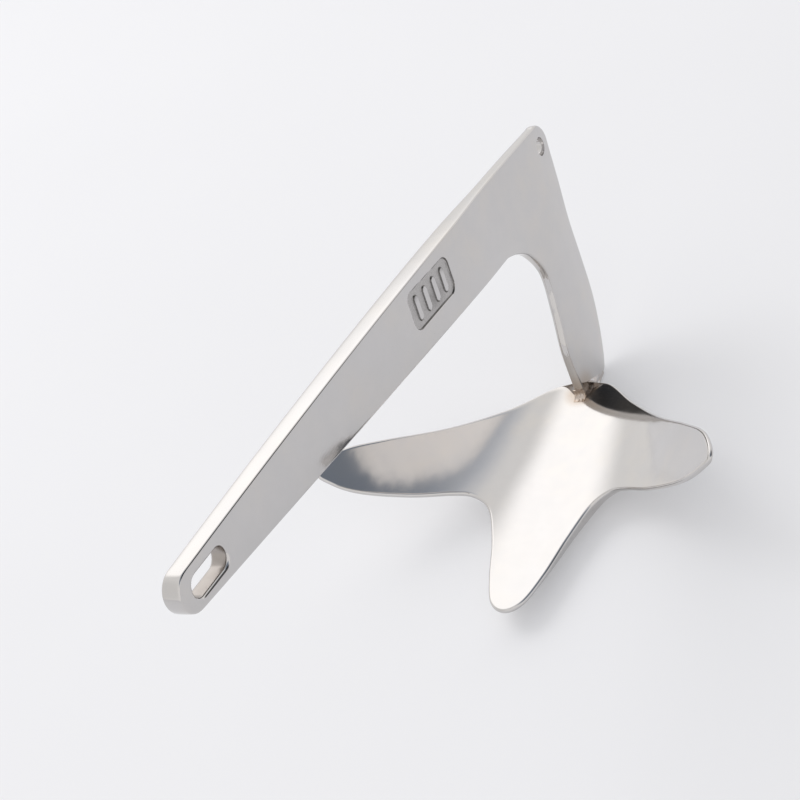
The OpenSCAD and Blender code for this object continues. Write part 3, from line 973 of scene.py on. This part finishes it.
class ANCHOR_OT_stage(bpy.types.Operator):
    """Makes the floor, the soft light, the pale tent and the camera"""

    bl_idname = "anchor.stage"
    bl_label = "Studio"

    def execute(self, context):
        studio = settings()[5]
        scene = context.scene
        scene.view_settings.view_transform = "Standard"
        half = FLOOR_HALF
        corners = np.array([[-half, -half, 0], [half, -half, 0], [half, half, 0], [-half, half, 0]])
        mesh = bpy.data.meshes.new("floor")
        mesh.from_pydata(corners.tolist(), [], [[0, 1, 2, 3]])
        floor = bpy.data.objects.new("floor", mesh)
        scene.collection.objects.link(floor)
        made, shader, at = new_material("paper_floor")
        grain = noise(at, 3.0, 2.0, 0.5)
        tone = grain.step(0.3, 0.7).mix(rgba(studio.floor), rgba(studio.floor, 0.985))
        wire(shader, Base_Color=tone, Roughness=0.75, Specular_IOR_Level=0.2,
             Emission_Color=rgba((0.985, 0.985, 1.0)), Emission_Strength=studio.floor_glow)
        mesh.materials.append(made)
        self.tent(scene, studio)
        soft_light("key_light", KEY_PLACE, AIM, KEY_WIDTH, studio.key)
        soft_light("fill_light", FILL_PLACE, AIM, FILL_WIDTH, studio.fill)
        self.camera(scene)
        return {"FINISHED"}

    @staticmethod
    def tent(scene, studio):
        """World light by direction: a pale tent with one bright patch and three dim ones, the
        first of which is also cooler. Each patch is a smooth step of the cosine to its middle."""
        world = bpy.data.worlds.new("tent")
        scene.world = world
        world.use_nodes = True
        tree = world.node_tree
        tree.nodes.clear()
        coords = tree.nodes.new("ShaderNodeTexCoord")
        at = Value(tree, coords.outputs["Generated"])

        def patch(direction, cosines):
            d = tuple(unit(np.array(direction, float)))
            facing = at.node("ShaderNodeVectorMath", {"operation": "DOT_PRODUCT"}, output=1, i0=at, i1=d)
            return facing.step(*cosines)

        *place, gain = BRIGHT_PATCH
        level = 1.0 + patch(*place) * gain
        dims = [(patch(direction, cosines), amount) for direction, cosines, amount in DIM_PATCHES]
        for mask, amount in dims:
            level = level * (1.0 - mask * amount)
        cool = dims[0][0].mix(PALE_LIGHT, COOL_LIGHT)
        back = tree.nodes.new("ShaderNodeBackground")
        tree.links.new((level * studio.ambient).socket, back.inputs["Strength"])
        tree.links.new(cool.socket, back.inputs["Color"])
        out = tree.nodes.new("ShaderNodeOutputWorld")
        tree.links.new(back.outputs[0], out.inputs[0])

    @staticmethod
    def camera(scene):
        """A long lens, rolled, looking down from above the front right."""
        data = bpy.data.cameras.new("camera")
        data.sensor_width, data.lens = SENSOR, LENS
        data.clip_start, data.clip_end = 0.01, 50.0
        camera = bpy.data.objects.new("camera", data)
        forward = Vector(CAMERA_FORWARD).normalized()
        right = Vector(CAMERA_RIGHT)
        right = (right - forward * right.dot(forward)).normalized()
        up = right.cross(forward)
        turn = Matrix((right, up, -forward)).transposed().to_4x4()
        camera.matrix_world = Matrix.Translation(CAMERA_PLACE) @ turn
        scene.collection.objects.link(camera)
        scene.camera = camera


def soft_light(name, place, target, width, power):
    """A square soft light aimed at a target, seen neither directly nor in reflections."""
    data = bpy.data.lights.new(name, "AREA")
    data.shape, data.size, data.energy = "SQUARE", width, power
    light = bpy.data.objects.new(name, data)
    aim = Vector(target) - Vector(place)
    light.matrix_world = Matrix.Translation(place) @ aim.to_track_quat("-Z", "Y").to_matrix().to_4x4()
    light.visible_camera = light.visible_glossy = False
    bpy.context.scene.collection.objects.link(light)


class ANCHOR_PT_sidebar(bpy.types.Panel):
    """Lists the settings and the steps"""

    bl_label = "Claw anchor"
    bl_idname = "ANCHOR_PT_sidebar"
    bl_space_type = "VIEW_3D"
    bl_region_type = "UI"
    bl_category = "Anchor"

    def draw(self, context):
        for label, group, steps in (
            ("Shank", "anchor_shank", ("anchor.shank",)),
            ("Marked panel", "anchor_panel", ()),
            ("Claw", "anchor_claw", ("anchor.claw",)),
            ("Welds", "anchor_weld", ("anchor.welds",)),
            ("Finish", "anchor_finish", ()),
            ("Studio", "anchor_studio", ("anchor.stage",)),
        ):
            box = self.layout.box()
            box.label(text=label)
            held = getattr(context.scene, group)
            for name in type(held).__annotations__:
                box.prop(held, name)
            for step in steps:
                box.operator(step)


GROUPS = {
    "anchor_shank": ShankSizes,
    "anchor_panel": PanelSizes,
    "anchor_claw": ClawSizes,
    "anchor_weld": WeldSizes,
    "anchor_finish": SteelFinish,
    "anchor_studio": StudioSettings,
}
OPERATORS = (ANCHOR_OT_shank, ANCHOR_OT_claw, ANCHOR_OT_welds, ANCHOR_OT_stage)


def register():
    for kind in (*GROUPS.values(), *OPERATORS, ANCHOR_PT_sidebar):
        bpy.utils.register_class(kind)
    for name, kind in GROUPS.items():
        setattr(bpy.types.Scene, name, bpy.props.PointerProperty(type=kind))


def unregister():
    for name in GROUPS:
        delattr(bpy.types.Scene, name)
    for kind in (ANCHOR_PT_sidebar, *OPERATORS, *GROUPS.values()):
        bpy.utils.unregister_class(kind)


def main():
    register()
    bpy.ops.anchor.shank()
    bpy.ops.anchor.claw()
    bpy.ops.anchor.welds()
    bpy.ops.anchor.stage()


if __name__ == "__main__":
    main()
